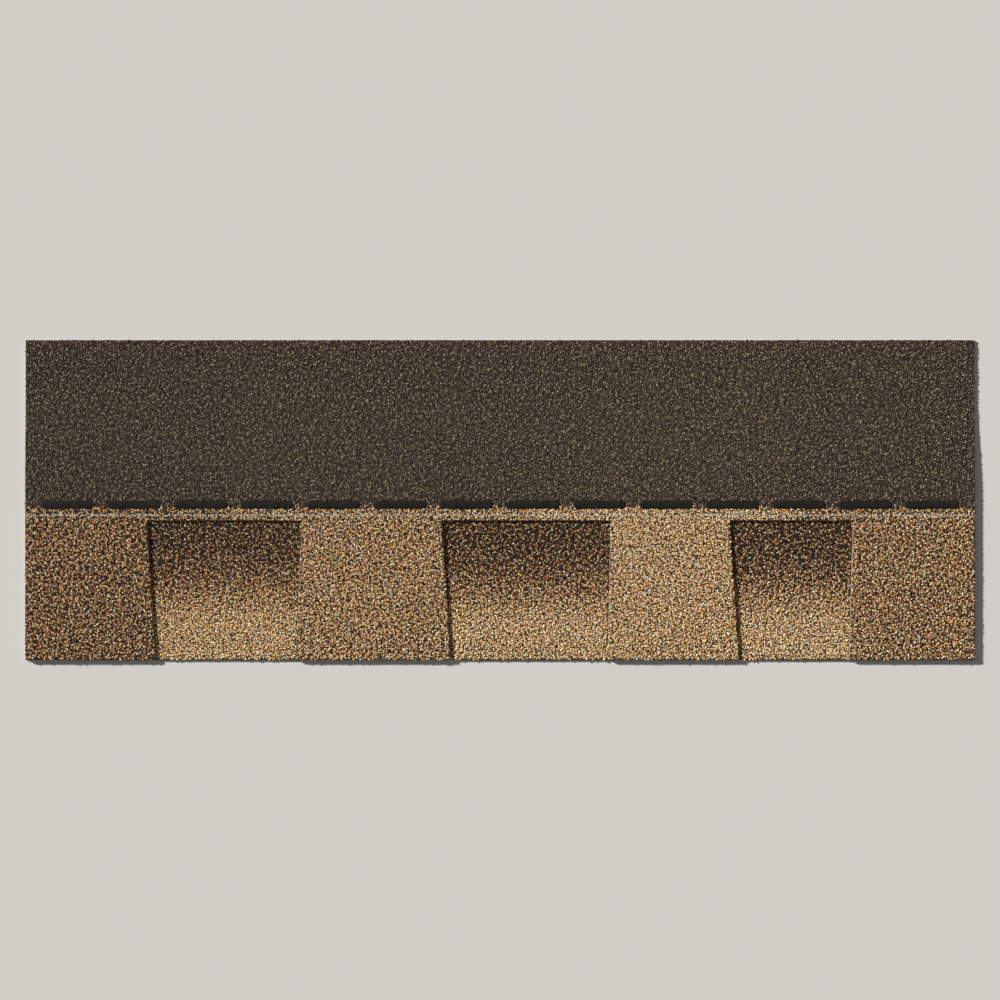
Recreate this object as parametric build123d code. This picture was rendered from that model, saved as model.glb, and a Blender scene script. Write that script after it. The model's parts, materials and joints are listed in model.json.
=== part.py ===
from build123d import *
import itertools
import math
import os
from typing import NamedTuple

# One laminated asphalt roof shingle, lying on a level floor with its weather side up.
# A full-height overlay sheet is cut along its lower edge into wide tabs that flare towards the
# butt edge. A backer strip is bonded under the tabs and closes the cut-outs between them.
# Above the backer the overlay has nothing under it, so it sags to the floor in a shallow S.
# X runs along the course and Y up the roof. The origin is on the floor, in the middle of the
# shingle's outline. Sizes are in millimetres.

# Up the roof, from the butt edge
EXPOSURE = 143.0  # left showing by the next course
HEADLAP = 194.0  # covered by the next course
CUTOUT_COVER = 4.0  # how far the cut-outs run up under the next course
NAILING_BAND = 26.0  # double thickness between the cut-outs and the backer's top edge

# Along the course
LENGTH = 1000.0

# One turn of the cutting die: its tabs and the cut-outs after them, at the butt edge
TAB_WIDTHS = (137.0, 163.0, 138.0)
CUTOUT_WIDTHS = (148.0, 166.0, 116.0)
# How much further each cut-out reaches at its head, on its left and on its right side
CUTOUT_LEFT_FLARES = (9.0, 9.5, 10.0)
CUTOUT_RIGHT_FLARES = (6.5, 3.0, 4.5)

# What the cutting die leaves
CUTOUT_CORNER_RADIUS = 2.5
TAB_CORNER_RADIUS = 1.5
CUT_SLOPE = 12.0  # degrees by which the sides of a cut-out close in from the face to the underside

# Layers
OVERLAY_THICKNESS = 2.5
BACKER_THICKNESS = 2.5
BOND_THICKNESS = 0.4
SAG_RUN = 110.0  # length of the S in which the overlay comes down to the floor
SAG_STRAIGHT = 40.0  # straight slope in the middle of the S

# Beads of laminating asphalt between the two layers
BOND_BEAD_WIDTH = 12.0
BOND_EDGE_MARGIN = 4.0  # from a bead to the butt edge, and to the backer's top edge
BOND_END_MARGIN = 5.0  # from a bead's end to the side of its tab
TAB_BEAD_ROWS = 3

# Dashes of sealing asphalt on the face, which grip the next course
SEALANT_DASH_LENGTH = 56.0
SEALANT_DASH_WIDTH = 9.0
SEALANT_DASH_HEIGHT = 1.2
SEALANT_GAP = 14.0
SEALANT_TOP_MARGIN = 5.0  # from the dashes to the line over the backer's top edge
SEALANT_SHOULDER = 0.7  # slope that takes off the dashes' upper edge

# Strip of film along the back, which keeps bundled shingles from sticking together
FILM_WIDTH = 20.0
FILM_THICKNESS = 0.1

# Places that follow from the sizes above
HEIGHT = EXPOSURE + HEADLAP
CUTOUT_DEPTH = EXPOSURE + CUTOUT_COVER
BACKER_HEIGHT = CUTOUT_DEPTH + NAILING_BAND
LEFT_END = -LENGTH / 2
RIGHT_END = LENGTH / 2
BUTT_EDGE = -HEIGHT / 2
TOP_EDGE = HEIGHT / 2
CUTOUT_HEAD = BUTT_EDGE + CUTOUT_DEPTH
BACKER_TOP = BUTT_EDGE + BACKER_HEIGHT
OVERLAY_UNDERSIDE = BACKER_THICKNESS + BOND_THICKNESS
FACE = OVERLAY_UNDERSIDE + OVERLAY_THICKNESS
COMMON_BEAD_Y = BACKER_TOP - BOND_EDGE_MARGIN - BOND_BEAD_WIDTH / 2
LOWEST_BEAD_Y = BUTT_EDGE + BOND_EDGE_MARGIN + BOND_BEAD_WIDTH / 2
SEALANT_Y = BACKER_TOP - SEALANT_TOP_MARGIN - SEALANT_DASH_WIDTH / 2
FILM_Y = BACKER_TOP + SAG_RUN / 2


class Tab(NamedTuple):
    """A tab between its two sides at the butt edge, with how far each leans in by the cut-outs' head."""

    left: float
    right: float
    left_lean: float
    right_lean: float

    def sides_at(self, y):
        """The tab's left and right side at a height up the roof."""
        share = (y - BUTT_EDGE) / CUTOUT_DEPTH
        return self.left + share * self.left_lean, self.right - share * self.right_lean


def tabs_along_butt_edge():
    """The tabs from left to right. The last, with no room for a cut-out after it, runs to the end."""
    die = zip(TAB_WIDTHS, CUTOUT_WIDTHS, CUTOUT_LEFT_FLARES, CUTOUT_RIGHT_FLARES)
    tabs = []
    left, left_lean = LEFT_END, 0.0
    for width, gap, right_lean, next_left_lean in itertools.cycle(die):
        right = left + width
        if right + gap >= RIGHT_END:
            return [*tabs, Tab(left, RIGHT_END, left_lean, 0.0)]
        tabs.append(Tab(left, right, left_lean, right_lean))
        left, left_lean = right + gap, next_left_lean


def sheet_section():
    """The overlay's section up the roof: flat on the backer, down in a shallow S, flat on the floor."""
    turn = 2 * math.atan(OVERLAY_UNDERSIDE / (SAG_RUN + SAG_STRAIGHT))
    radius = (SAG_RUN - SAG_STRAIGHT * math.cos(turn)) / (2 * math.sin(turn))
    with BuildSketch(Plane.YZ) as section:
        with BuildLine():
            bonded = Line((BUTT_EDGE, OVERLAY_UNDERSIDE), (BACKER_TOP, OVERLAY_UNDERSIDE))
            crest = JernArc(bonded @ 1, bonded % 1, radius, -math.degrees(turn))
            slope = PolarLine(crest @ 1, SAG_STRAIGHT, direction=crest % 1)
            hollow = JernArc(slope @ 1, slope % 1, radius, math.degrees(turn))
            Line(hollow @ 1, (TOP_EDGE, 0))
            offset(amount=OVERLAY_THICKNESS, side=Side.LEFT)
        make_face()
    return section.sketch


def cutout_outline(tab, next_tab):
    """The gap between two neighbouring tabs on the face, from below the butt edge up to its rounded head."""
    below = BUTT_EDGE - CUTOUT_DEPTH
    left_foot, left_head = (tab.sides_at(y)[1] for y in (below, CUTOUT_HEAD))
    right_foot, right_head = (next_tab.sides_at(y)[0] for y in (below, CUTOUT_HEAD))
    outline = Polygon(
        (left_foot, below),
        (right_foot, below),
        (right_head, CUTOUT_HEAD),
        (left_head, CUTOUT_HEAD),
        align=None,
    )
    return fillet(outline.vertices().group_by(Axis.Y)[-1], CUTOUT_CORNER_RADIUS)


def overlay_sheet():
    """The weather layer: the formed sheet with its cut-outs, and the tabs' corners eased."""
    sheet = extrude(sheet_section(), amount=LENGTH / 2, both=True)
    face_plane = Plane.XY.offset(FACE)
    tabs = tabs_along_butt_edge()
    for tab, next_tab in zip(tabs, tabs[1:]):
        punch = extrude(face_plane * cutout_outline(tab, next_tab), amount=-OVERLAY_THICKNESS)
        sides = punch.faces().filter_by(Axis.Z, reverse=True)
        sheet -= draft(sides, face_plane, -CUT_SLOPE)
    butt_edges = sheet.edges().group_by(Axis.Y)[0]
    return fillet(butt_edges.filter_by(Axis.X, reverse=True), TAB_CORNER_RADIUS)


def slab(left, right, bottom_edge, top_edge, floor, thickness):
    """A rectangular layer between two ends and two heights up the roof."""
    layer = Box(right - left, top_edge - bottom_edge, thickness, align=(Align.MIN, Align.MIN, Align.MIN))
    return Pos(left, bottom_edge, floor) * layer


def backer_strip():
    """The plain strip that is bonded under the tabs and shows in the cut-outs."""
    return slab(LEFT_END, RIGHT_END, BUTT_EDGE, BACKER_TOP, 0, BACKER_THICKNESS)


def bond_bead(left, right, y):
    """One bead of laminating asphalt, as thick as the joint between the layers."""
    half_width = BOND_BEAD_WIDTH / 2
    return slab(left, right, y - half_width, y + half_width, BACKER_THICKNESS, BOND_THICKNESS)


def bond_beads():
    """One bead along the whole nailing band, and a row of short ones under each tab."""
    left_end, right_end = LEFT_END + BOND_END_MARGIN, RIGHT_END - BOND_END_MARGIN
    beads = {"common_bond_bead": bond_bead(left_end, right_end, COMMON_BEAD_Y)}
    pitch = (COMMON_BEAD_Y - LOWEST_BEAD_Y) / TAB_BEAD_ROWS
    for number, tab in enumerate(tabs_along_butt_edge(), start=1):
        for row in range(TAB_BEAD_ROWS):
            y = LOWEST_BEAD_Y + row * pitch
            left, right = tab.sides_at(y + BOND_BEAD_WIDTH / 2)
            name = f"tab_{number}_bond_bead_{row + 1}"
            beads[name] = bond_bead(left + BOND_END_MARGIN, right - BOND_END_MARGIN, y)
    return beads


def sealant_dashes():
    """As many dashes as fit along the course, centred on it, with rounded ends and sloping shoulders."""
    pitch = SEALANT_DASH_LENGTH + SEALANT_GAP
    count = int((LENGTH - SEALANT_GAP) // pitch)
    dash = extrude(SlotOverall(SEALANT_DASH_LENGTH, SEALANT_DASH_WIDTH), amount=SEALANT_DASH_HEIGHT)
    dash = chamfer(dash.faces().sort_by(Axis.Z)[-1].edges(), SEALANT_SHOULDER)
    first = -pitch * (count - 1) / 2
    return {
        f"sealant_dash_{number + 1:02d}": Pos(first + number * pitch, SEALANT_Y, FACE) * dash
        for number in range(count)
    }


def release_film():
    """The film strip on the back, along the middle of the slope, where the sheet is off the floor."""
    section = sheet_section()
    window = Plane.YZ * Pos(FILM_Y, 0) * Rectangle(FILM_WIDTH, 2 * FACE)
    strip = (Pos(0, 0, -FILM_THICKNESS) * section - section) & window
    return extrude(strip, amount=LENGTH / 2, both=True)


def pieces():
    """Every piece of the shingle under its own name."""
    return {
        "overlay_sheet": overlay_sheet(),
        "backer_strip": backer_strip(),
        **bond_beads(),
        **sealant_dashes(),
        "release_film": release_film(),
    }


os.makedirs("parts", exist_ok=True)
for name, piece in pieces().items():
    export_step(piece, f"parts/{name}.step")
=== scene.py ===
"""Dresses a laminated asphalt shingle in granules, asphalt and film, and sets it in a small studio."""

import json
import math

import bpy
import numpy as np
from bpy.props import FloatProperty, FloatVectorProperty, IntProperty, PointerProperty
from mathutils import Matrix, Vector, noise
from mathutils.bvhtree import BVHTree


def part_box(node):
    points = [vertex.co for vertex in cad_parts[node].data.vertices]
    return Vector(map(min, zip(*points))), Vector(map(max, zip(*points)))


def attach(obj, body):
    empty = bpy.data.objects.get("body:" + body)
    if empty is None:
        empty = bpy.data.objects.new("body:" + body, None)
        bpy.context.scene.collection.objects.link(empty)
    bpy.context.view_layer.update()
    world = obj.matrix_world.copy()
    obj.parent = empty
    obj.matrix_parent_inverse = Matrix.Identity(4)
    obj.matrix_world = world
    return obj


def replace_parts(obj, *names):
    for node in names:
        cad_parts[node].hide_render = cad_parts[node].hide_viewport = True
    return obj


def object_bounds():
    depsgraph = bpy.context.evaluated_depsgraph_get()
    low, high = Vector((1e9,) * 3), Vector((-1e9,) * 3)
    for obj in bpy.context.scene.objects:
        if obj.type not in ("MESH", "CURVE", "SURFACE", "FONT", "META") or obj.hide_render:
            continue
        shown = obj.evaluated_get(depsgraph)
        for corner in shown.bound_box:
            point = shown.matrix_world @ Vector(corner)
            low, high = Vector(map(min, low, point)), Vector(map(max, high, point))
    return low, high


bl_info = {
    "name": "Laminated Asphalt Shingle",
    "version": (1, 0, 0),
    "blender": (4, 5, 0),
    "location": "View3D > Sidebar > Shingle",
    "description": "Lays granules on a laminated shingle and finishes its asphalt, mat and film",
    "category": "Object",
}

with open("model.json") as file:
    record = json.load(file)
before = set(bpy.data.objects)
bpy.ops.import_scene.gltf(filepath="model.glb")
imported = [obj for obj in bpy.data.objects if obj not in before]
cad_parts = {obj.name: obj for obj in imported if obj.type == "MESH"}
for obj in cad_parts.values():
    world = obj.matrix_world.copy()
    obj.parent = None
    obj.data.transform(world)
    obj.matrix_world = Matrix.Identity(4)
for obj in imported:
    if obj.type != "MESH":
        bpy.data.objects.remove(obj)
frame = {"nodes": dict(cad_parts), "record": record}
CAD_LOW, CAD_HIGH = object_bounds()

MM = 0.001
TAU = 2 * math.pi
SHEET_LOW, SHEET_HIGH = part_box("overlay_sheet")
BUTT_EDGE = SHEET_LOW.y
CUTOUTS = [opening["box_m"] for opening in frame["record"]["physics"]["openings"]]
CUTOUT_HEAD = max(high[1] for low, high in CUTOUTS)
CUTOUT_MIDDLES = [(low[0] + high[0]) / 2 for low, high in CUTOUTS]
SEALANT_DASHES = sorted(node for node in frame["nodes"] if node.startswith("sealant_dash"))
BOND_BEADS = sorted(node for node in frame["nodes"] if "bond_bead" in node)
TONE_LIMITS = {"min": 0.1, "max": 9}


def srgb(red, green, blue):
    """A colour given in steps of 0 to 255, as the linear values that Blender's sockets hold."""
    shares = (step / 255 for step in (red, green, blue))
    linear = (s / 12.92 if s <= 0.04045 else ((s + 0.055) / 1.055) ** 2.4 for s in shares)
    return (*linear, 1.0)


def colour(name, description, steps):
    """A colour that a user can change."""
    return FloatVectorProperty(
        name=name, description=description, default=srgb(*steps), subtype="COLOR", size=4, min=0, max=1
    )


def length(name, description, default):
    """A length that a user can change."""
    return FloatProperty(
        name=name, description=description, default=default, min=0, precision=5, unit="LENGTH"
    )


def share(name, description, default):
    """A share from nothing to all, that a user can change."""
    return FloatProperty(name=name, description=description, default=default, min=0, max=1, subtype="FACTOR")


def spread(name, description, default):
    """The least and the most of something, that a user can change."""
    return FloatVectorProperty(name=name, description=description, default=default, size=2, min=0)


def angle(name, description, degrees):
    """An angle that a user can change."""
    return FloatProperty(name=name, description=description, default=math.radians(degrees), unit="ROTATION")


def darkness(name, description, default):
    """A tone that a user can change."""
    return FloatProperty(name=name, description=description, default=default, **TONE_LIMITS)


class ShingleGranules(bpy.types.PropertyGroup):
    """How the granules are made and strewn."""

    spacing: length("Spacing", "Between neighbouring granules on the part that shows", 2.25 * MM)
    headlap_spacing: length("Headlap spacing", "Between neighbouring granules on the headlap", 2.25 * MM)
    scatter: share("Scatter", "How far a granule may leave its place, as a share of the spacing", 0.3)
    edge: length("Edge", "Between a cut edge and the nearest granule's middle", 0.35 * MM)
    reach: share("Reach", "From a granule's middle to its outermost corners, as a share of the spacing", 0.62)
    stand: share("Stand", "How high the highest granules stand on the sheet, as a share of the spacing", 0.5)
    depth: length("Depth", "How far a granule is pressed into the asphalt", 0.15 * MM)
    slimness: share("Slimness", "How much a granule's reach changes round it", 0.28)
    stray: angle("Stray", "How far a corner may leave its place round the granule", 20)
    sizes: spread("Sizes", "Least and most size, as shares of the reach and the stand", (0.7, 1.0))
    foot: spread("Foot", "Least and most reach of the buried corners, as shares of the size", (0.85, 1.1))
    crown: spread("Crown", "Least and most reach of the upper corners, as shares of the size", (0.5, 0.9))
    rise: spread("Rise", "Least and most height of the upper corners, as shares of the size", (0.3, 1.0))
    deal: length("Deal", "Width of the squares in which the blend's colours are dealt out evenly", 5.5 * MM)
    seed: IntProperty(name="Seed", description="Picks one strewing out of many", default=7, min=0)


class ShingleBlend(bpy.types.PropertyGroup):
    """The colours of the granules, each group from dark to light."""

    char: colour("Char", "Darkest granules", (44, 31, 21))
    umber: colour("Umber", "Dark brown granules", (112, 74, 47))
    plum: colour("Plum", "Purple-brown granules", (166, 114, 93))
    rust: colour("Rust", "Orange-brown granules", (204, 139, 90))
    olive: colour("Olive", "Olive-brown granules", (182, 154, 92))
    grey: colour("Grey", "Warm grey granules", (204, 176, 141))
    bronze: colour("Bronze", "Golden brown granules", (233, 183, 119))
    tan: colour("Tan", "Tan granules", (247, 204, 144))
    buff: colour("Buff", "Light tan granules", (254, 224, 173))
    cream: colour("Cream", "Lightest granules", (255, 242, 212))
    slate: colour("Slate", "Darkest granules of the headlap", (52, 45, 40))
    cocoa: colour("Cocoa", "Dark brown granules of the headlap", (88, 72, 58))
    taupe: colour("Taupe", "Grey-brown granules of the headlap", (124, 108, 90))
    sand: colour("Sand", "Lightest granules of the headlap", (168, 148, 120))
    paint: colour("Paint", "Nail line's paint", (214, 208, 192))


class ShingleTones(bpy.types.PropertyGroup):
    """How dark the blend is in each place. Its dark colours gain above 1, and its light ones below."""

    tabs: FloatVectorProperty(
        name="Tabs",
        description="Tone of each tab, from left to right",
        default=(1.48, 0.86, 0.54, 1.1),
        size=4,
        **TONE_LIMITS,
    )
    tab_blur: length("Tab blur", "Half the width in which one tab's tone gives way to the next", 12 * MM)
    shade: share("Shade", "How much darker each granule is for each step of the tone", 0.16)
    cutout_head: darkness("Cut-out head", "Tone of the upper part of a cut-out", 2.6)
    cutout_foot: darkness("Cut-out foot", "Tone of the lower part of a cut-out", 0.46)
    fade_start: length("Fade start", "From the butt edge to where a cut-out starts to darken", 36 * MM)
    fade_end: length("Fade end", "From the butt edge to where a cut-out is darkest", 132 * MM)
    mottle: share("Mottle", "How much the tone wavers from place to place", 0.22)
    mottle_size: length("Mottle size", "Width of the lighter and darker places", 26 * MM)
    nail_line: length("Nail line", "From the butt edge to the middle of the painted line", 152.5 * MM)
    nail_line_width: length("Nail line width", "Width of the painted line", 2.2 * MM)
    nail_line_cover: share("Nail line cover", "How well the paint covers the granules", 0.6)
    blend_end: length("Blend end", "From the butt edge to where plainer granules take over", 161 * MM)
    blend_end_spread: length("Blend end spread", "How far the two kinds of granules mix there", 4 * MM)


class ShingleAsphalt(bpy.types.PropertyGroup):
    """The asphalt, its mat and what is dusted on it."""

    coating: colour("Coating", "Asphalt between the granules", (20, 13, 8))
    cut: colour("Cut edge", "Filled asphalt on the cut edges", (60, 53, 45))
    chips: colour("Chips", "Broken granules and glass fibres in the cut edges", (204, 187, 156))
    back: colour("Back", "Asphalt of the back", (40, 38, 36))
    dust: colour("Dust", "Mineral dust on the back", (116, 110, 101))
    bead: colour("Bead", "Laminating and sealing asphalt", (15, 13, 12))
    film: colour("Film", "Release film on the back", (176, 178, 174))
    film_shade: colour("Film shade", "Asphalt that shows through the film's creases", (134, 135, 131))


class ShingleBeads(bpy.types.PropertyGroup):
    """How the sealant dashes have set."""

    step: length("Step", "Between neighbouring corners of a dash's surface", 0.55 * MM)
    waver: length("Waver", "How far a dash's outline wavers", 0.45 * MM)
    waver_size: length("Waver size", "Length of the outline's waves", 5 * MM)
    lump: share("Lump", "How much of the height the granules under a dash take in places", 0.5)
    lump_size: length("Lump size", "Width of the lumps", 2.6 * MM)
    sunk: length("Sunk", "How far a dash reaches into the granules", 0.1 * MM)


class ShingleStudio(bpy.types.PropertyGroup):
    """Floor, light and camera."""

    floor: colour("Floor", "Floor and backdrop", (214, 211, 205))
    level: share("Level", "Light on the floor, as a share of what makes a white sheet white", 0.95)
    key_share: share("Key share", "The key light's share of the light on the floor", 0.82)
    key_azimuth: angle("Key azimuth", "Where the key light stands, from +X", 150)
    key_elevation: angle("Key elevation", "Of the key light over the floor", 26)
    key_softness: angle("Key softness", "Angle that the key light fills", 5)
    lens: FloatProperty(name="Lens", description="Focal length", default=100, min=10, unit="CAMERA")
    filled: share("Filled", "Share of the picture's width that the shingle fills", 0.95)


def settings(group):
    """One of the shingle's groups of settings."""
    return getattr(bpy.context.scene, f"shingle_{group}")


class Wire:
    """A node's output that takes part in Python expressions. Each operation adds its Math node."""

    def __init__(self, nodes, socket):
        self.nodes = nodes
        self.socket = socket

    def __add__(self, other):
        return self.nodes.math("ADD", self, other)

    def __sub__(self, other):
        return self.nodes.math("SUBTRACT", self, other)

    def __rsub__(self, other):
        return self.nodes.math("SUBTRACT", other, self)

    def __mul__(self, other):
        return self.nodes.math("MULTIPLY", self, other)

    def __pow__(self, other):
        return self.nodes.math("POWER", self, other)

    def __rpow__(self, other):
        return self.nodes.math("POWER", other, self)

    def __gt__(self, other):
        return self.nodes.math("GREATER_THAN", self, other)

    def __lt__(self, other):
        return self.nodes.math("LESS_THAN", self, other)

    def __abs__(self):
        return self.nodes.math("ABSOLUTE", self)

    __radd__ = __add__
    __rmul__ = __mul__

    def most(self, other):
        """The higher of two values."""
        return self.nodes.math("MAXIMUM", self, other)

    def ramped(self, start, end):
        """Nothing below start, all above end and a smooth rise between."""
        inputs = {"Value": self, "From Min": start, "From Max": end}
        return self.nodes.node("ShaderNodeMapRange", {"interpolation_type": "SMOOTHSTEP"}, inputs)


class Nodes:
    """A node tree under construction."""

    MIX_A, MIX_B, MIX_RESULT = 6, 7, 2  # the Mix node's colour sockets
    OFF_GRID = (0.37, 0.61, 0.43)  # keeps flat faces off the noise's own grid, which would show on them

    def __init__(self, owner):
        owner.use_nodes = True
        self.tree = owner.node_tree
        self.tree.nodes.clear()

    def node(self, kind, options=None, inputs=None, output=0):
        """Adds a node with its options, then its sockets' values or links, and gives one of its outputs."""
        made = self.tree.nodes.new(kind)
        for name, value in (options or {}).items():
            if name == "stops":
                self.set_stops(made.color_ramp, value)
            else:
                setattr(made, name, value)
        for key, value in (inputs or {}).items():
            if isinstance(value, Wire):
                self.tree.links.new(value.socket, made.inputs[key])
            else:
                made.inputs[key].default_value = value
        return None if output is None else Wire(self, made.outputs[output])

    @staticmethod
    def set_stops(ramp, stops):
        """Steps of one colour each, from (place, colour) pairs."""
        ramp.interpolation = "CONSTANT"
        for _ in range(len(stops) - len(ramp.elements)):
            ramp.elements.new(1.0)
        for element, (place, stop_colour) in zip(ramp.elements, stops):
            element.position = place
            element.color = stop_colour

    def math(self, operation, *operands):
        """One operation on numbers and wires."""
        return self.node("ShaderNodeMath", {"operation": operation}, dict(enumerate(operands)))

    def mix(self, cover, under, over):
        """One colour over another, as far as it covers."""
        inputs = {0: cover, self.MIX_A: under, self.MIX_B: over}
        return self.node("ShaderNodeMix", {"data_type": "RGBA"}, inputs, self.MIX_RESULT)

    def picked(self, pick, stops):
        """The colour that a pick from 0 to 1 has among some stops."""
        return self.node("ShaderNodeValToRGB", {"stops": stops}, {"Fac": pick})

    def place(self):
        """Where the surface is, in the frame's metres."""
        return self.node("ShaderNodeTexCoord", output="Object")

    def along(self, axis, vector):
        """A vector's x, y or z, by the axis's name."""
        return self.node("ShaderNodeSeparateXYZ", inputs={"Vector": vector}, output=axis)

    def facing_up(self):
        """How far the surface faces up, from -1 on the underside to 1 on top."""
        return self.along("Z", self.node("ShaderNodeNewGeometry", output="True Normal"))

    def noise(self, size, detail=3.0, stretch=(1, 1, 1)):
        """Smooth noise with features of about one size, in metres, stretched along the axes."""
        scale = tuple(1 / (size * times) for times in stretch)
        inputs = {0: self.place(), 1: scale, 2: self.OFF_GRID}
        scaled = self.node("ShaderNodeVectorMath", {"operation": "MULTIPLY_ADD"}, inputs)
        return self.node("ShaderNodeTexNoise", inputs={"Vector": scaled, "Scale": 1.0, "Detail": detail})

    def cells(self, size, output):
        """Voronoi cells of one size, in metres: the Color of each, or the Distance from its middle."""
        inputs = {"Vector": self.place(), "Scale": 1 / size}
        return self.node("ShaderNodeTexVoronoi", inputs=inputs, output=output)

    def bump(self, height, distance, strength=1.0):
        """A normal that shows a height, over a distance in metres."""
        inputs = {"Height": height, "Distance": distance, "Strength": strength}
        return self.node("ShaderNodeBump", inputs=inputs)


class Finish(Nodes):
    """A material under construction."""

    def __init__(self, name):
        self.material = bpy.data.materials.new(name)
        super().__init__(self.material)

    def surface(self, **sockets):
        """Ends the material in a Principled surface. Underscores stand for the spaces in sockets' names."""
        inputs = {name.replace("_", " "): value for name, value in sockets.items()}
        surface = self.node("ShaderNodeBsdfPrincipled", inputs=inputs)
        self.node("ShaderNodeOutputMaterial", inputs={"Surface": surface}, output=None)
        return self.material


# How much of each blend its colours take, from dark to light
WEATHER_BLEND = {
    "char": 0.08,
    "umber": 0.12,
    "plum": 0.09,
    "rust": 0.11,
    "olive": 0.11,
    "grey": 0.08,
    "bronze": 0.12,
    "tan": 0.12,
    "buff": 0.11,
    "cream": 0.06,
}
HEADLAP_BLEND = {"slate": 0.3, "cocoa": 0.34, "taupe": 0.26, "sand": 0.1}

NOISE_MIDDLE = 0.5
PICK_SCRAMBLE = 977.0  # parts the white noise of picks that are almost alike
DUSTY_SPECULAR = 0.25  # of dry stone and of asphalt with fines in it


def blend_stops(blend):
    """A blend as steps of a ramp."""
    stops, place = [], 0.0
    for name, part in blend.items():
        stops.append((place, getattr(settings("blend"), name)))
        place += part
    return stops


def mottled(finish, tone):
    """A tone that wavers from place to place."""
    tones = settings("tones")
    waver = finish.noise(tones.mottle_size, detail=2.0) - NOISE_MIDDLE
    return tone * (1 + 2 * tones.mottle * waver)


def tab_tone(finish):
    """The tone over the tabs, which changes behind the middle of each cut-out."""
    tones = settings("tones")
    x = finish.along("X", finish.place())
    tone = tones.tabs[0]
    for middle, before, after in zip(CUTOUT_MIDDLES, tones.tabs, tones.tabs[1:]):
        tone = tone + x.ramped(middle - tones.tab_blur, middle + tones.tab_blur) * (after - before)
    return mottled(finish, tone)


def cutout_tone(finish):
    """The tone over the cut-outs, dark at their heads and light towards the butt edge."""
    tones = settings("tones")
    y = finish.along("Y", finish.place())
    fade = y.ramped(BUTT_EDGE + tones.fade_start, BUTT_EDGE + tones.fade_end)
    return mottled(finish, tones.cutout_foot + fade * (tones.cutout_head - tones.cutout_foot))


def nail_line(finish):
    """Where the painted line runs, with worn edges."""
    tones = settings("tones")
    wear, wear_size = 1.2 * MM, 6 * MM
    y = finish.along("Y", finish.place()) + (finish.noise(wear_size) - NOISE_MIDDLE) * wear
    return abs(y - (BUTT_EDGE + tones.nail_line)) < tones.nail_line_width / 2


def stone(name, stops, tone=None, painted=False):
    """The finish of granules: one colour of the blend each, with mineral grain, some of them duller."""
    grain_size, grain_depth = 0.28 * MM, 0.08 * MM
    most_dulled, dull_grain, grainy_paint = 0.12, 0.18, 0.3
    finish = Finish(name)
    pick = finish.node("ShaderNodeAttribute", {"attribute_name": "pick"}, output="Fac")
    dulled = finish.node("ShaderNodeTexWhiteNoise", {"noise_dimensions": "1D"}, {"W": pick * PICK_SCRAMBLE})
    shade = 0.0
    if tone is not None:
        strength = tone(finish)
        shade = settings("tones").shade * (strength - 1)
        pick = pick**strength
    granule = finish.picked(pick, stops)
    grain = finish.noise(grain_size, detail=2.0)
    dull = most_dulled * dulled + dull_grain * grain + shade
    granule = finish.mix(dull, granule, settings("asphalt").coating)
    if painted:
        cover = nail_line(finish) * (settings("tones").nail_line_cover + grainy_paint * grain)
        granule = finish.mix(cover, granule, settings("blend").paint)
    return finish.surface(
        Base_Color=granule,
        Roughness=0.6 + 0.3 * grain,
        Specular_IOR_Level=DUSTY_SPECULAR,
        Normal=finish.bump(grain, grain_depth),
    )


def sheet_finish(name, tone):
    """The finish of a sheet: fines in asphalt on its face, with painted shade between the granules, chips in
    its cut edges and dust on its back.
    """
    # The fourth of these is painted shade: how far the face between the granules is darkened towards the
    # asphalt.
    fines_size, fines_reach, fines_tone, fines_painted_shade = 0.8 * MM, 0.42, 1.6, 0.7
    chip_size, chips_noise = 0.45 * MM, (0.43, 0.6)
    dust_size, streak_size, streaks, dust_noise = 1.4 * MM, 40 * MM, 0.3, (0.34, 0.62)
    relief_size, relief_depth = 0.3 * MM, 0.25 * MM
    level = 0.5  # a face that looks up or down by less is a cut edge
    asphalt = settings("asphalt")
    finish = Finish(name)
    fines_pick = finish.along("X", finish.cells(fines_size, "Color"))
    fines = finish.picked(fines_pick ** (tone(finish) * fines_tone), blend_stops(WEATHER_BLEND))
    between_fines = finish.cells(fines_size, "Distance")
    face = finish.mix(between_fines > fines_reach, fines, asphalt.coating)
    # Painted shade: the face between the granules is mixed most of the way to the asphalt's colour, standing
    # in for the granules' shade on it.
    face = finish.mix(fines_painted_shade, face, asphalt.coating)
    chips = finish.noise(chip_size, detail=4.0, stretch=(2, 2, 1)).ramped(*chips_noise)
    cut = finish.mix(chips, asphalt.cut, asphalt.chips)
    dusting = finish.noise(dust_size, detail=4.0) * (1 - streaks)
    dusting = dusting + finish.noise(streak_size, stretch=(3, 1, 1)) * streaks
    back = finish.mix(dusting.ramped(*dust_noise), asphalt.back, asphalt.dust)
    up = finish.facing_up()
    base = finish.mix(up > level, cut, face)
    base = finish.mix(up < -level, base, back)
    relief = finish.noise(relief_size, detail=5.0) * 0.5 - between_fines * 0.5
    return finish.surface(
        Base_Color=base,
        Roughness=0.65 + 0.3 * fines_pick,
        Specular_IOR_Level=DUSTY_SPECULAR,
        Normal=finish.bump(relief, relief_depth),
    )


def bead_finish():
    """The finish of laminating and sealing asphalt: black, with a skin that is glossy in places."""
    pits_size, pits_depth, dull_size, dustiest = 1.1 * MM, 0.3 * MM, 9 * MM, 0.12
    asphalt = settings("asphalt")
    finish = Finish("asphalt_bead")
    pits = finish.noise(pits_size, detail=4.0)
    dull = finish.noise(dull_size, detail=2.0)
    return finish.surface(
        Base_Color=finish.mix(dustiest * dull, asphalt.bead, asphalt.dust),
        Roughness=0.5 + 0.3 * dull,
        Specular_IOR_Level=0.08,
        Normal=finish.bump(pits, pits_depth),
    )


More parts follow.
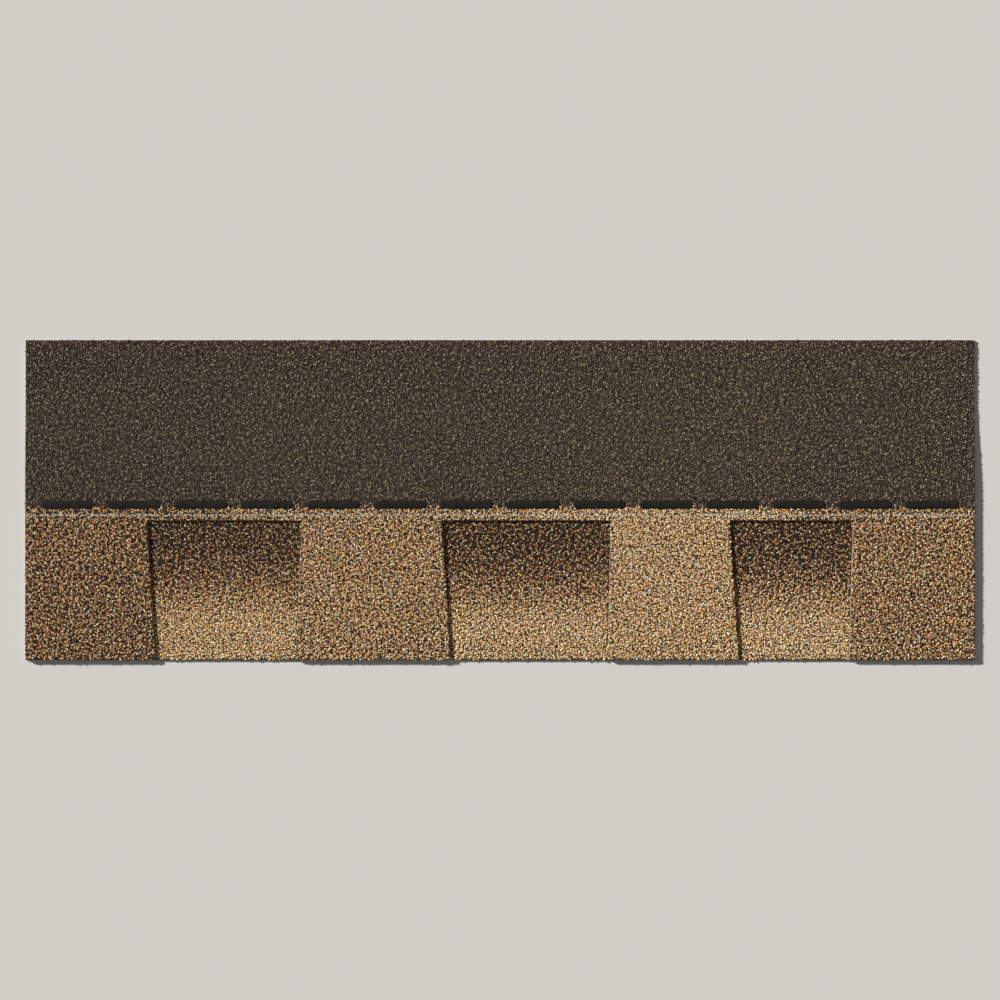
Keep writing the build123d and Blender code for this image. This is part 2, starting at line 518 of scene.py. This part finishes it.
def film_finish():
    """The finish of the release film: milky and glossy, with creases across it."""
    crease_size, crease_depth, crease_noise = 7 * MM, 0.3 * MM, (0.35, 0.75)
    asphalt = settings("asphalt")
    finish = Finish("release_film")
    creases = finish.noise(crease_size, detail=2.0, stretch=(0.7, 2, 1))
    return finish.surface(
        Base_Color=finish.mix(creases.ramped(*crease_noise), asphalt.film, asphalt.film_shade),
        Roughness=0.16 + 0.2 * creases,
        Normal=finish.bump(creases, crease_depth, strength=0.5),
    )


def dress(node, material):
    """Gives a CAD node its finish."""
    slots = frame["nodes"][node].data.materials
    slots.clear()
    slots.append(material)


def piece(mesh, material):
    """A piece that rides on the shingle, named like its mesh."""
    mesh.materials.append(material)
    made = bpy.data.objects.new(mesh.name, mesh)
    bpy.context.scene.collection.objects.link(made)
    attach(made, "root")
    return made


class UpperFaces:
    """The upper faces of some CAD nodes, felt by rays from above."""

    START = Vector((0, 0, 1))  # well above the shingle
    DOWN = Vector((0, 0, -1))
    LEVEL = 0.1 * MM  # a seat's height changes by less

    def __init__(self, *nodes):
        corners, faces, self.owners = [], [], []
        for node in nodes:
            mesh = frame["nodes"][node].data
            first = len(corners)
            corners += [vertex.co.copy() for vertex in mesh.vertices]
            faces += [[first + corner for corner in face.vertices] for face in mesh.polygons]
            self.owners += [node] * len(mesh.polygons)
        self.tree = BVHTree.FromPolygons(corners, faces)

    def under(self, x, y):
        """The node under a place and the height of its face there, or None and 0."""
        hit, _, index, _ = self.tree.ray_cast(self.START + Vector((x, y, 0)), self.DOWN)
        return (None, 0.0) if index is None else (self.owners[index], hit.z)

    def seats(self, places, edge):
        """For each node, its places that are clear of edges and steps, with their heights."""
        around = [(0, 0), (edge, edge), (-edge, edge), (edge, -edge), (-edge, -edge)]
        found = {}
        for x, y in places.tolist():
            under = [self.under(x + dx, y + dy) for dx, dy in around]
            node, height = under[0]
            if node and all(other == node and abs(z - height) < self.LEVEL for other, z in under):
                found.setdefault(node, []).append((x, y, height))
        return {node: np.array(seated) for node, seated in found.items()}


def lattice(low_y, high_y, spacing, random):
    """Scattered places on a lattice of triangles, over the shingle's length and a stretch up the roof."""
    row_pitch = spacing * math.sqrt(3) / 2
    x, y = np.meshgrid(np.arange(SHEET_LOW.x, SHEET_HIGH.x, spacing), np.arange(low_y, high_y, row_pitch))
    x[1::2] += spacing / 2
    places = np.column_stack([x.ravel(), y.ravel()])
    scatter = settings("granules").scatter
    return places + random.uniform(-scatter, scatter, places.shape) * spacing


# One crushed granule: four buried corners and a crown of four more, turned by half a step
SIDES = 4
FOOT = np.arange(SIDES)
CROWN = SIDES + FOOT
CORNERS = 2 * SIDES
GRANULE_FACES = [(CROWN[0], CROWN[i], CROWN[i + 1]) for i in range(1, SIDES - 1)]
GRANULE_FACES += [(FOOT[0], FOOT[i + 1], FOOT[i]) for i in range(1, SIDES - 1)]
GRANULE_FACES += [(FOOT[i], FOOT[(i + 1) % SIDES], CROWN[i]) for i in range(SIDES)]
GRANULE_FACES += [(CROWN[i], FOOT[(i + 1) % SIDES], CROWN[(i + 1) % SIDES]) for i in range(SIDES)]


def granule_corners(count, spacing, random):
    """The corners of some crushed granules about their seats, all different."""
    granules = settings("granules")
    turn = random.uniform(0, TAU, (count, 1))
    long_way = random.uniform(0, TAU, (count, 1))
    steps = np.concatenate([FOOT, FOOT + 0.5]) * TAU / SIDES
    round_about = turn + steps + random.uniform(-granules.stray, granules.stray, (count, CORNERS))
    size = random.uniform(*granules.sizes, (count, 1))
    reach = size * granules.reach * spacing * (1 + granules.slimness * np.cos(2 * round_about - long_way))
    reach[:, FOOT] *= random.uniform(*granules.foot, (count, SIDES))
    reach[:, CROWN] *= random.uniform(*granules.crown, (count, SIDES))
    height = np.full((count, CORNERS), -granules.depth)
    height[:, CROWN] = size * granules.stand * spacing * random.uniform(*granules.rise, (count, SIDES))
    return np.stack([reach * np.cos(round_about), reach * np.sin(round_about), height], axis=2)


def spread_picks(places, random):
    """A pick of the blend for each granule, dealt so that every few neighbours have the whole blend."""
    deal = settings("granules").deal
    row = 4 * round(SHEET_HIGH.x / deal)  # more squares than lie side by side, so that no two share a number
    block = places[:, :2] // deal @ [1, row]
    order = np.lexsort((random.uniform(size=len(places)), block))
    first, counts = np.unique(block[order], return_index=True, return_counts=True)[1:]
    turn = np.arange(len(places)) - np.repeat(first, counts)
    picks = np.empty(len(places))
    picks[order] = (turn + random.uniform(size=len(places))) / np.repeat(counts, counts)
    return picks


def patches(corners):
    """A square of the bake's map for each granule, with its corners as they lie from above."""
    middle, reach = 0.5, 0.45  # of a square's width, which leaves a margin round each granule
    count = len(corners)
    side = math.ceil(math.sqrt(count))
    square = np.column_stack([np.arange(count) % side, np.arange(count) // side])
    farthest = np.abs(corners[:, :, :2]).max()
    return (square[:, None, :] + middle + reach * corners[:, :, :2] / farthest) / side


def granule_bed(name, places, spacing, material, random):
    """A joined mesh of granules on their seats, each with its own pick of the blend and square of the map."""
    count = len(places)
    corners = granule_corners(count, spacing, random)
    faces = (np.array(GRANULE_FACES)[None] + CORNERS * np.arange(count)[:, None, None]).reshape(-1, 3)
    mesh = bpy.data.meshes.new(name)
    mesh.vertices.add(count * CORNERS)
    mesh.vertices.foreach_set("co", (places[:, None, :] + corners).ravel())
    mesh.loops.add(faces.size)
    mesh.loops.foreach_set("vertex_index", faces.ravel())
    mesh.polygons.add(len(faces))
    mesh.polygons.foreach_set("loop_start", np.arange(0, faces.size, 3))
    mesh.update(calc_edges=True)
    pick = mesh.attributes.new("pick", "FLOAT", "POINT")
    pick.data.foreach_set("value", np.repeat(spread_picks(places, random), CORNERS).astype(np.float32))
    chart = mesh.uv_layers.new(name="OFBake")
    on_map = patches(corners).reshape(-1, 2)[faces.ravel()]
    chart.uv.foreach_set("vector", on_map.astype(np.float32).ravel())
    piece(mesh, material)


def granule_beds(name, beds, places, spacing, material, random):
    """Several beds for places that are too many for one, in stretches of like length up the roof."""
    edges = np.linspace(places[:, 1].min(), places[:, 1].max(), beds + 1)[1:-1]
    stretch = np.digitize(places[:, 1], edges)
    for number in range(beds):
        granule_bed(f"{name}_{number + 1}", places[stretch == number], spacing, material, random)


def mixed_heights(seats, random):
    """The seats' heights up the roof, each a little off, so that two kinds of granules mix where they meet."""
    deviations = 3  # from the middle of the mix to its end
    return seats[:, 1] + random.normal(0, settings("tones").blend_end_spread / deviations, len(seats))


class SHINGLE_OT_sheets(bpy.types.Operator):
    """Finish the faces, cut edges and backs of the overlay and the backer"""

    bl_idname = "shingle.sheets"
    bl_label = "Finish Sheets"

    def execute(self, context):
        dress("overlay_sheet", sheet_finish("overlay_sheet", tab_tone))
        dress("backer_strip", sheet_finish("backer_strip", cutout_tone))
        return {"FINISHED"}


class SHINGLE_OT_weather_granules(bpy.types.Operator):
    """Strew granules on the tabs, in the cut-outs and along the nailing band"""

    bl_idname = "shingle.weather_granules"
    bl_label = "Strew Weather Granules"

    TAB_BEDS = 2
    CUTOUT_BEDS = 2

    def execute(self, context):
        granules, tones = settings("granules"), settings("tones")
        spacing = granules.spacing
        random = np.random.default_rng(granules.seed)
        blend_end = BUTT_EDGE + tones.blend_end
        places = lattice(BUTT_EDGE, blend_end + tones.blend_end_spread, spacing, random)
        seats = UpperFaces("overlay_sheet", "backer_strip", *SEALANT_DASHES).seats(places, granules.edge)
        face, backer = seats["overlay_sheet"], seats["backer_strip"]
        face = face[mixed_heights(face, random) < blend_end]
        on_tabs = face[:, 1] < CUTOUT_HEAD
        stops = blend_stops(WEATHER_BLEND)
        plain = stone("tab_granules", stops, tab_tone)
        painted = stone("nailing_band_granules", stops, tab_tone, painted=True)
        backing = stone("cutout_granules", stops, cutout_tone)
        granule_beds("tab_granules", self.TAB_BEDS, face[on_tabs], spacing, plain, random)
        granule_bed("nailing_band_granules", face[~on_tabs], spacing, painted, random)
        granule_beds("cutout_granules", self.CUTOUT_BEDS, backer, spacing, backing, random)
        return {"FINISHED"}


class SHINGLE_OT_headlap_granules(bpy.types.Operator):
    """Strew plainer granules on the headlap"""

    bl_idname = "shingle.headlap_granules"
    bl_label = "Strew Headlap Granules"

    HEADLAP_BEDS = 3

    def execute(self, context):
        granules, tones = settings("granules"), settings("tones")
        spacing = granules.headlap_spacing
        random = np.random.default_rng(granules.seed + 1)
        blend_end = BUTT_EDGE + tones.blend_end
        places = lattice(blend_end - tones.blend_end_spread, SHEET_HIGH.y, spacing, random)
        seats = UpperFaces("overlay_sheet", *SEALANT_DASHES).seats(places, granules.edge)
        face = seats["overlay_sheet"]
        face = face[mixed_heights(face, random) > blend_end]
        plain = stone("headlap_granules", blend_stops(HEADLAP_BLEND))
        granule_beds("headlap_granules", self.HEADLAP_BEDS, face, spacing, plain, random)
        return {"FINISHED"}


def bead_rings(low, high, seed):
    """Rings of corners round a domed bead in its node's box, with a wavering outline and a lumpy crown."""
    beads = settings("beads")
    blunt = 0.25  # of the turn round an end, left off so that the first ring has a width
    end_rings, across = 7, 17
    fullness, other_wave = 0.7, 9
    half_length, half_width = (high.x - low.x) / 2, (high.y - low.y) / 2
    middle = (low + high) / 2
    end = half_width * (1 - np.cos(np.linspace(blunt, math.pi / 2, end_rings)))
    straight = np.arange(half_width, 2 * half_length - half_width, beads.step)[1:]
    rings = []
    for x in np.concatenate([end, straight, 2 * half_length - end[::-1]]) - half_length:
        into_end = max(0.0, abs(x) - (half_length - half_width)) / half_width
        width = half_width * math.sqrt(1 - into_end**2)
        shift = beads.waver * noise.noise(Vector((x / beads.waver_size, seed, 0)))
        width += beads.waver * noise.noise(Vector((x / beads.waver_size, seed, other_wave)))
        ring = []
        for side in -np.cos(np.linspace(0, math.pi, across)):
            y = width * side + shift
            lump = noise.noise(Vector((x / beads.lump_size, y / beads.lump_size, seed)))
            lumpy = 1 - beads.lump / 2 * (1 - lump)
            crown = (1 - side**2) ** fullness * math.sqrt(width / half_width) * lumpy
            ring.append((middle.x + x, middle.y + y, low.z + (high.z - low.z) * crown))
        floor = low.z - beads.sunk
        rings.append([(*ring[0][:2], floor), *ring, (*ring[-1][:2], floor)])
    return rings


def lofted(name, rings):
    """A closed mesh through rings of as many corners each."""
    size = len(rings[0])
    faces = [
        (first + j, first + size + j, first + size + (j + 1) % size, first + (j + 1) % size)
        for first in range(0, (len(rings) - 1) * size, size)
        for j in range(size)
    ]
    last = (len(rings) - 1) * size
    faces += [tuple(range(size)), tuple(range(last, last + size))[::-1]]
    mesh = bpy.data.meshes.new(name)
    mesh.from_pydata([corner for ring in rings for corner in ring], [], faces)
    return mesh


class SHINGLE_OT_beads(bpy.types.Operator):
    """Lay the domed sealant dashes and finish the laminating beads"""

    bl_idname = "shingle.beads"
    bl_label = "Lay Asphalt Beads"

    def execute(self, context):
        asphalt = bead_finish()
        for node in BOND_BEADS:
            dress(node, asphalt)
        for number, node in enumerate(SEALANT_DASHES, start=1):
            mesh = lofted(f"sealant_bead_{number:02d}", bead_rings(*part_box(node), number))
            mesh.shade_smooth()
            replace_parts(piece(mesh, asphalt), node)
        return {"FINISHED"}


class SHINGLE_OT_film(bpy.types.Operator):
    """Finish the release film on the back"""

    bl_idname = "shingle.film"
    bl_label = "Finish Release Film"

    def execute(self, context):
        dress("release_film", film_finish())
        return {"FINISHED"}


class SHINGLE_OT_stage(bpy.types.Operator):
    """Set up the floor, the lights and the camera"""

    bl_idname = "shingle.stage"
    bl_label = "Set Up Stage"

    FLOOR_REACH = 60.0  # metres
    FLOOR_DROP = 0.05 * MM  # parts the floor from the underside that lies on it
    KEY_STAND = 3.0  # metres
    SENSOR = 36.0  # millimetres, like the lens

    def execute(self, context):
        studio = settings("studio")
        self.floor(context.scene, studio)
        self.key(context.scene, studio)
        self.surroundings(context.scene, studio)
        self.camera(context.scene, studio)
        context.scene.view_settings.view_transform = "Standard"
        return {"FINISHED"}

    def floor(self, scene, studio):
        """A matt floor that reaches past the picture in every view."""
        reach, z = self.FLOOR_REACH, -self.FLOOR_DROP
        corners = [(-reach, -reach, z), (reach, -reach, z), (reach, reach, z), (-reach, reach, z)]
        mesh = bpy.data.meshes.new("floor")
        mesh.from_pydata(corners, [], [(0, 1, 2, 3)])
        matt = {"Roughness": 0.9, "Specular_IOR_Level": 0.0}
        mesh.materials.append(Finish("floor").surface(Base_Color=studio.floor, **matt))
        floor = bpy.data.objects.new("floor", mesh)
        scene.collection.objects.link(floor)

    def key(self, scene, studio):
        """A key light that gives its share of the light on the floor."""
        across, height = math.cos(studio.key_elevation), math.sin(studio.key_elevation)
        light = bpy.data.lights.new("key", "SUN")
        light.energy = studio.level * studio.key_share * math.pi / height
        light.angle = studio.key_softness
        azimuth = studio.key_azimuth
        towards = Vector((across * math.cos(azimuth), across * math.sin(azimuth), height))
        stand = bpy.data.objects.new("key", light)
        stand.location = towards * self.KEY_STAND
        stand.rotation_mode = "QUATERNION"
        stand.rotation_quaternion = towards.to_track_quat("Z", "Y")
        scene.collection.objects.link(stand)

    def surroundings(self, scene, studio):
        """The rest of the light, evenly from all round. Seen or mirrored, it has the lit floor's colour."""
        scene.world = bpy.data.worlds.new("studio")
        nodes = Nodes(scene.world)
        seen = nodes.node("ShaderNodeLightPath", output="Is Camera Ray")
        for ray in ("Is Glossy Ray", "Is Transmission Ray"):
            seen = seen.most(nodes.node("ShaderNodeLightPath", output=ray))
        fill = studio.level * (1 - studio.key_share)
        backdrop = (*(studio.level * part for part in studio.floor[:3]), 1.0)
        light = nodes.mix(seen, (fill, fill, fill, 1.0), backdrop)
        background = nodes.node("ShaderNodeBackground", inputs={"Color": light})
        nodes.node("ShaderNodeOutputWorld", inputs={"Surface": background}, output=None)

    def camera(self, scene, studio):
        """A camera straight above the shingle's middle."""
        lens = bpy.data.cameras.new("camera")
        lens.lens = studio.lens
        lens.sensor_width = self.SENSOR
        camera = bpy.data.objects.new("camera", lens)
        view_width = (CAD_HIGH.x - CAD_LOW.x) / studio.filled
        middle = (CAD_LOW + CAD_HIGH) / 2
        camera.location = (middle.x, middle.y, CAD_HIGH.z + view_width * studio.lens / self.SENSOR)
        scene.collection.objects.link(camera)
        scene.camera = camera


class SHINGLE_PT_panel(bpy.types.Panel):
    """The shingle's settings and steps"""

    bl_idname = "SHINGLE_PT_panel"
    bl_label = "Laminated Shingle"
    bl_space_type = "VIEW_3D"
    bl_region_type = "UI"
    bl_category = "Shingle"

    def draw(self, context):
        for name, group in GROUPS.items():
            box = self.layout.box()
            for setting in group.__annotations__:
                box.prop(getattr(context.scene, name), setting)
        for operator in OPERATORS:
            self.layout.operator(operator.bl_idname)


GROUPS = {
    "shingle_granules": ShingleGranules,
    "shingle_blend": ShingleBlend,
    "shingle_tones": ShingleTones,
    "shingle_asphalt": ShingleAsphalt,
    "shingle_beads": ShingleBeads,
    "shingle_studio": ShingleStudio,
}
OPERATORS = (
    SHINGLE_OT_sheets,
    SHINGLE_OT_weather_granules,
    SHINGLE_OT_headlap_granules,
    SHINGLE_OT_beads,
    SHINGLE_OT_film,
    SHINGLE_OT_stage,
)


def register():
    for cls in (*GROUPS.values(), *OPERATORS, SHINGLE_PT_panel):
        bpy.utils.register_class(cls)
    for name, group in GROUPS.items():
        setattr(bpy.types.Scene, name, PointerProperty(type=group))


def unregister():
    for name in GROUPS:
        delattr(bpy.types.Scene, name)
    for cls in (SHINGLE_PT_panel, *reversed(OPERATORS), *reversed(GROUPS.values())):
        bpy.utils.unregister_class(cls)


def main():
    """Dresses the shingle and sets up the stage."""
    register()
    bpy.ops.shingle.sheets()
    bpy.ops.shingle.weather_granules()
    bpy.ops.shingle.headlap_granules()
    bpy.ops.shingle.beads()
    bpy.ops.shingle.film()
    bpy.ops.shingle.stage()


if __name__ == "__main__":
    main()
